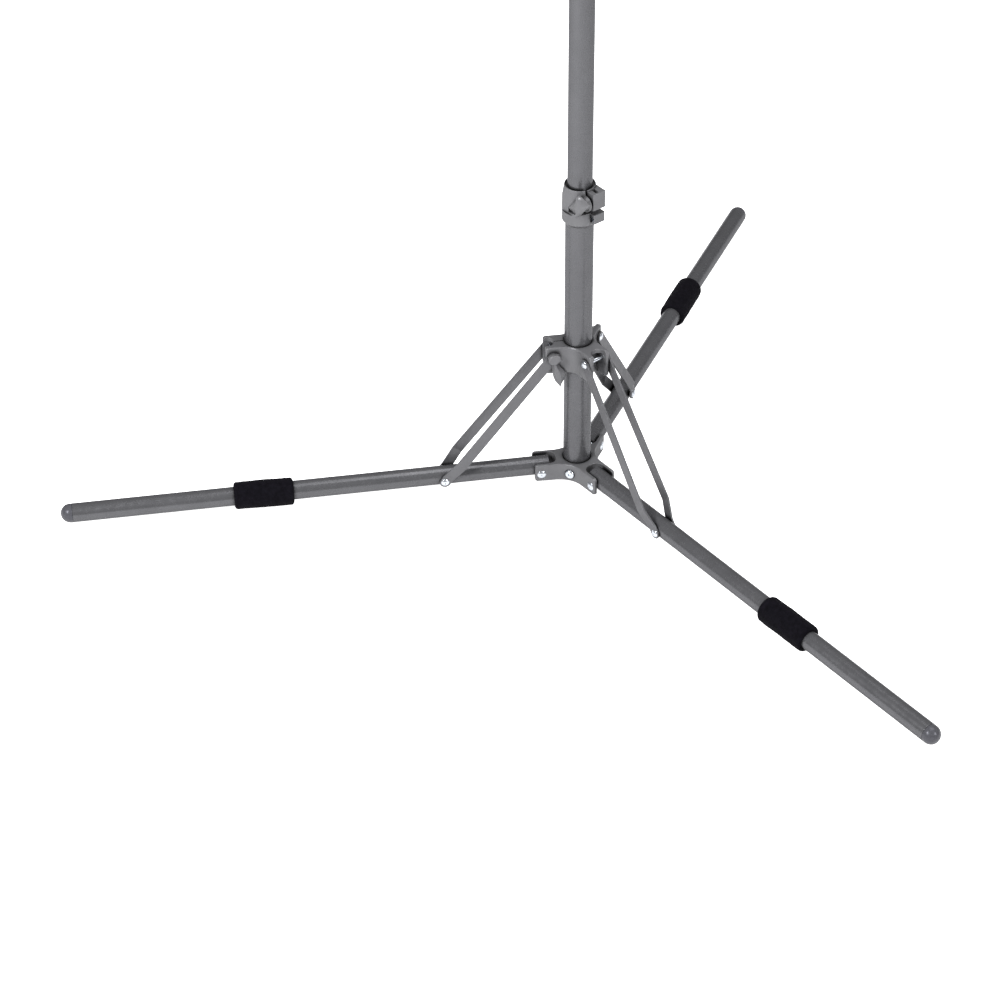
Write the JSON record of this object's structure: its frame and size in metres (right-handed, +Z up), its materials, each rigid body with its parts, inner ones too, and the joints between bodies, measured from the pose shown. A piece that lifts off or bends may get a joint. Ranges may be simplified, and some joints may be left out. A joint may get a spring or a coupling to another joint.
{
  "type": "folding lighting stand",
  "caption": "Folding tripod stand for lights: tube legs with a sliding brace collar, and a telescopic column with clamp collars and a spigot.",
  "frame": {"origin": "on the floor, on the column's axis, at the underside of the base plug", "axes": "+Z up along the column towards the spigot; -Y along the front leg"},
  "size_m": [1.0404, 0.9039, 0.884],
  "materials": {
    "tube_grey": "satin grey powder coat on aluminium tube",
    "cast_grey": "fine-grained grey coat on die castings",
    "strip_grey": "grey coat on flat steel strip",
    "cap_grey": "moulded grey plastic",
    "zinc": "bright zinc plate",
    "foam_black": "closed-cell foam, matte",
    "plastic_black": "black moulded plastic",
    "rubber_black": "black rubber",
    "spigot_steel": "bright turned steel"
  },
  "bodies": {
    "base": {"base_tube": "tube_grey", "base_plug": "rubber_black", "hub_casting": "cast_grey", "hub_screw": "zinc", "hub_pivot_rivets": "zinc", "base_clamp_collar": "cast_grey", "base_clamp_bush": "plastic_black", "base_clamp_nut": "zinc", "base_clamp_set_screw": "zinc"},
    "base_knob": {"base_clamp_knob": "cast_grey", "base_clamp_stud": "zinc"},
    "brace_collar": {"brace_collar": "cast_grey", "collar_bush": "plastic_black", "collar_rivets": "zinc", "collar_clamp_bolt": "zinc"},
    "collar_lever": {"collar_lever": "cast_grey"},
    "front_leg": {"front_leg_tube": "tube_grey", "front_foot_cap": "cap_grey", "front_foam_sleeve": "foam_black", "front_leg_brace_pin": "zinc"},
    "front_brace": {"front_brace_strip_left": "strip_grey", "front_brace_strip_right": "strip_grey", "front_brace_rivet_heads": "zinc"},
    "right_leg": {"right_leg_tube": "tube_grey", "right_foot_cap": "cap_grey", "right_foam_sleeve": "foam_black", "right_leg_brace_pin": "zinc"},
    "right_brace": {"right_brace_strip_left": "strip_grey", "right_brace_strip_right": "strip_grey", "right_brace_rivet_heads": "zinc"},
    "left_leg": {"left_leg_tube": "tube_grey", "left_foot_cap": "cap_grey", "left_foam_sleeve": "foam_black", "left_leg_brace_pin": "zinc"},
    "left_brace": {"left_brace_strip_left": "strip_grey", "left_brace_strip_right": "strip_grey", "left_brace_rivet_heads": "zinc"},
    "mid_bush": {"mid_guide_bush": "plastic_black"},
    "mid_section": {"mid_tube": "tube_grey", "mid_clamp_collar": "cast_grey", "mid_clamp_bush": "plastic_black", "mid_clamp_nut": "zinc", "mid_clamp_set_screw": "zinc"},
    "mid_knob": {"mid_clamp_knob": "cast_grey", "mid_clamp_stud": "zinc"},
    "top_bush": {"top_guide_bush": "plastic_black"},
    "top_section": {"top_tube": "tube_grey", "spigot": "spigot_steel", "spigot_stud": "zinc", "spigot_pin": "zinc"}
  },
  "joints": [
    {"name": "collar_slide", "type": "slide", "parent": "base", "child": "brace_collar", "axis": [0, 0, 1], "range_m": [0, 0.1545]},
    {"name": "front_leg_fold", "type": "hinge", "parent": "base", "child": "front_leg", "pos_m": [0, -0.0434, 0.017], "axis": [-1, 0, 0], "range_deg": [0, 88]},
    {"name": "front_brace_swing", "type": "hinge", "parent": "brace_collar", "child": "front_brace", "pos_m": [0, -0.0305, 0.1817], "axis": [1, 0, 0], "range_deg": [0, 32.45]},
    {"name": "right_leg_fold", "type": "hinge", "parent": "base", "child": "right_leg", "pos_m": [0.03759, 0.0217, 0.017], "axis": [0.5, -0.866, 0], "range_deg": [0, 88]},
    {"name": "right_brace_swing", "type": "hinge", "parent": "brace_collar", "child": "right_brace", "pos_m": [0.02641, 0.01525, 0.1817], "axis": [-0.5, 0.866, 0], "range_deg": [0, 32.45]},
    {"name": "left_leg_fold", "type": "hinge", "parent": "base", "child": "left_leg", "pos_m": [-0.03759, 0.0217, 0.017], "axis": [0.5, 0.866, 0], "range_deg": [0, 88]},
    {"name": "left_brace_swing", "type": "hinge", "parent": "brace_collar", "child": "left_brace", "pos_m": [-0.02641, 0.01525, 0.1817], "axis": [-0.5, -0.866, 0], "range_deg": [0, 32.45]},
    {"name": "collar_lever_turn", "type": "hinge", "parent": "brace_collar", "child": "collar_lever", "pos_m": [-0.02641, 0.01525, 0.1817], "axis": [0.5, 0.866, 0], "range_deg": [0, 110]},
    {"name": "base_knob_turn", "type": "hinge", "parent": "base", "child": "base_knob", "pos_m": [-0.018, -0.021, 0.3877], "axis": [-1, 0, 0], "range_deg": [0, 270]},
    {"name": "mid_slide", "type": "slide", "parent": "base", "child": "mid_bush", "axis": [0, 0, 1], "range_m": [-0.123, 0.16]},
    {"name": "mid_swivel", "type": "hinge", "parent": "mid_bush", "child": "mid_section", "pos_m": [0, 0, 0.16], "axis": [0, 0, 1], "continuous": true},
    {"name": "mid_knob_turn", "type": "hinge", "parent": "mid_section", "child": "mid_knob", "pos_m": [-0.016, -0.019, 0.6912], "axis": [-1, 0, 0], "range_deg": [0, 270]},
    {"name": "top_slide", "type": "slide", "parent": "mid_section", "child": "top_bush", "axis": [0, 0, 1], "range_m": [-0.12, 0.3]},
    {"name": "top_swivel", "type": "hinge", "parent": "top_bush", "child": "top_section", "pos_m": [0, 0, 0.31], "axis": [0, 0, 1], "continuous": true}
  ],
  "couplings": [
    {"joint": "front_leg_fold", "follows": "collar_slide", "rad_per_m": 9.941},
    {"joint": "front_brace_swing", "follows": "collar_slide", "rad_per_m": 3.665},
    {"joint": "right_leg_fold", "follows": "collar_slide", "rad_per_m": 9.941},
    {"joint": "right_brace_swing", "follows": "collar_slide", "rad_per_m": 3.665},
    {"joint": "left_leg_fold", "follows": "collar_slide", "rad_per_m": 9.941},
    {"joint": "left_brace_swing", "follows": "collar_slide", "rad_per_m": 3.665}
  ]
}
